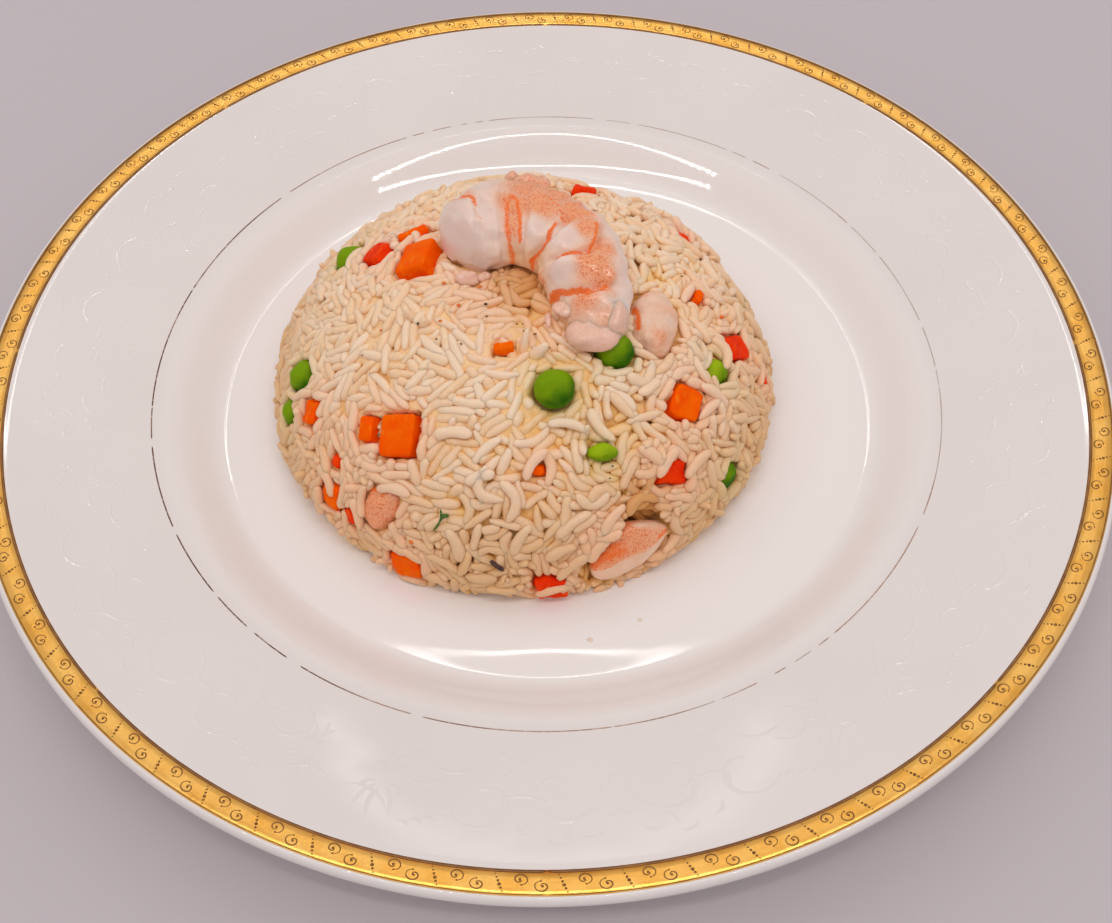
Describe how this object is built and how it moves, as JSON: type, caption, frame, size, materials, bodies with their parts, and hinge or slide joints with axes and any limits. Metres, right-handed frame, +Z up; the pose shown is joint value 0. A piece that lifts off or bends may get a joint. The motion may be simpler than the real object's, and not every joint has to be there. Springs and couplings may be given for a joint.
{
  "type": "fried rice plate",
  "caption": "Moulded dome of fried rice with shrimp, peas and diced carrot on a round white dinner plate with a gold band.",
  "frame": {"origin": "Centre of the plate's foot ring, on the surface that the plate stands on.", "axes": "+Z up. -Y is the front, the side from which the shrimp's tail and most of the vegetables are seen. +X is to the right from there."},
  "size_m": [0.267, 0.267, 0.0622],
  "materials": {
    "porcelain": "Warm white glazed porcelain, very smooth, with a white-on-white scroll relief on the rim.",
    "gold_band": "Gold band with a fine printed border of scrolls and dots, a dark line inside it and a worn hairline at the shoulder.",
    "rice": "Moist cooked rice grains, cream and slightly see-through, with a light shine of oil.",
    "shrimp": "Cooked shrimp, milky white flesh with orange bands and fine orange specks.",
    "pea": "Bright green pea skin, shiny and faintly wrinkled.",
    "carrot": "Moist cut carrot, deep orange to red-orange with faint paler streaks."
  },
  "bodies": {
    "root": {"carrot_back_high": "carrot", "carrot_back_left": "carrot", "carrot_back_low": "carrot", "carrot_back_middle": "carrot", "carrot_back_right": "carrot", "carrot_behind_shrimp": "carrot", "carrot_chip_front": "carrot", "carrot_chip_left": "carrot", "carrot_chip_right": "carrot", "carrot_curl": "carrot", "carrot_edge_left": "carrot", "carrot_foot_front": "carrot", "carrot_foot_left": "carrot", "carrot_large": "carrot", "carrot_low_left": "carrot", "carrot_low_left_red": "carrot", "carrot_pair_large": "carrot", "carrot_pair_small": "carrot", "carrot_rear_right": "carrot", "carrot_right": "carrot", "carrot_right_high": "carrot", "carrot_side_left": "carrot", "carrot_sliver": "carrot", "carrot_under_grains": "carrot", "carrot_upper_left": "carrot", "carrot_wedge": "carrot", "pea_back_left": "pea", "pea_back_middle": "pea", "pea_back_right": "pea", "pea_by_tail": "pea", "pea_front": "pea", "pea_half": "pea", "pea_left": "pea", "pea_left_low": "pea", "pea_right": "pea", "pea_right_low": "pea", "pea_upper_left": "pea", "plate": "porcelain", "rice": "rice", "shrimp_back": "shrimp", "shrimp_front": "shrimp", "shrimp_left": "shrimp", "shrimp_right": "shrimp", "shrimp_top": "shrimp"}
  },
  "joints": []
}
